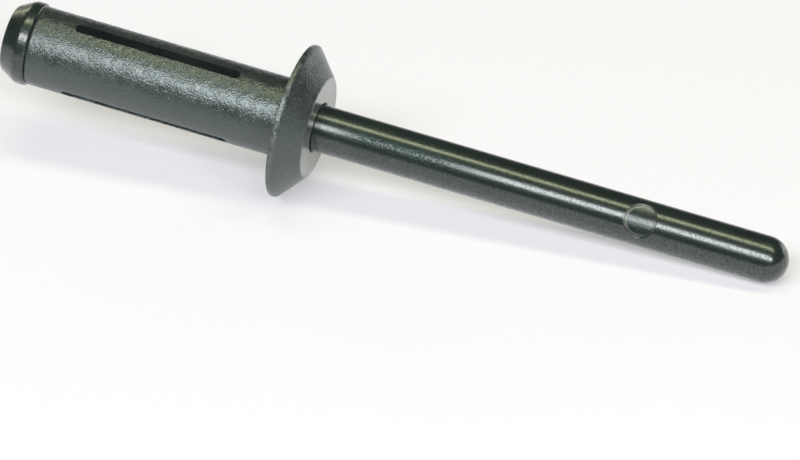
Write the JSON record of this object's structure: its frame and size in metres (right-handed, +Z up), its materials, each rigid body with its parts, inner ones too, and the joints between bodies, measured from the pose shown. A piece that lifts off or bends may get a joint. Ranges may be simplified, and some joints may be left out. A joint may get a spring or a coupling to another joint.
{
  "type": "plastic blind rivet",
  "caption": "Plastic blind rivet: a slotted sleeve with a flange and a round-tipped pull stem through it, lying on a flat surface.",
  "frame": {"origin": "middle of the footprint of the lying rivet, on the surface that it lies on", "axes": "+X along the length towards the stem's tip, +Z up; the rivet's axis dips towards the tip by about 6.3 degrees"},
  "size_m": [0.0644, 0.0122, 0.0122],
  "materials": {
    "body": "fine matte grain, black nylon",
    "mandrel": "glossy black plastic"
  },
  "bodies": {
    "root": {"rivet_body": "body", "mandrel": "mandrel"}
  },
  "joints": []
}
